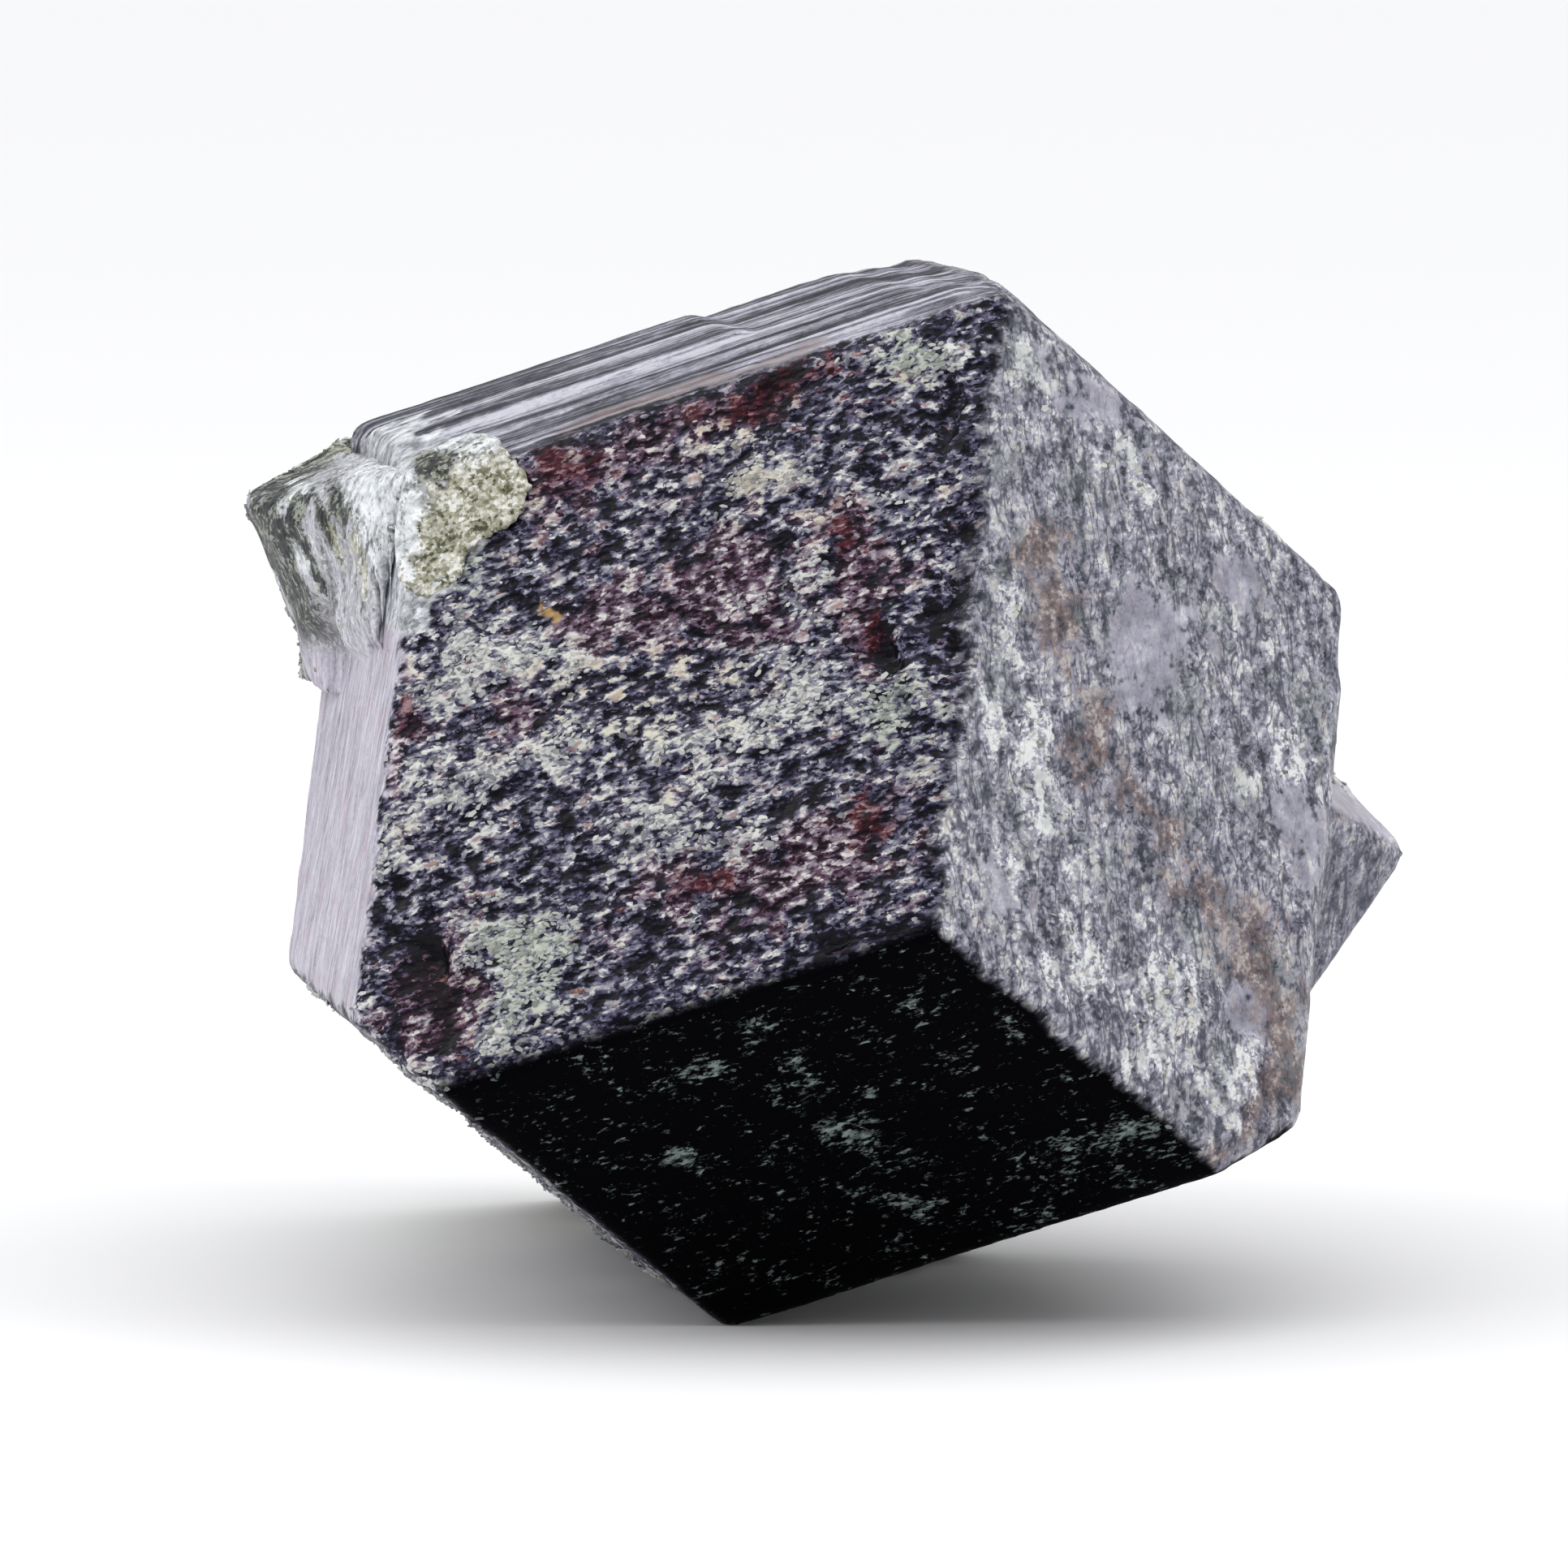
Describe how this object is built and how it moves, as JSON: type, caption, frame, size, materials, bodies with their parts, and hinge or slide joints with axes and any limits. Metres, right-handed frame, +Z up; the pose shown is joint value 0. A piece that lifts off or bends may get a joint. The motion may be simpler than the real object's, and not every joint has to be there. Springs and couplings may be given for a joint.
{
  "type": "garnet in matrix",
  "caption": "Large dark dodecahedral garnet crystal with a smaller one grown into its side, on a remnant of silvery mica schist matrix; a display mineral specimen.",
  "frame": {"origin": "on the resting surface, under the middle of the specimen's box", "axes": "+Z up, -Y to the viewer, who sees the large crystal's front corner; +X to the viewer's right"},
  "size_m": [0.0604, 0.0644, 0.0527],
  "materials": {
    "garnet": "dark purple-black crystal faces with a silvery mica and chlorite coating",
    "schist": "rough grey-green foliated mica schist"
  },
  "bodies": {
    "root": {"garnet_crystals": "garnet", "schist_matrix": "schist"}
  },
  "joints": []
}
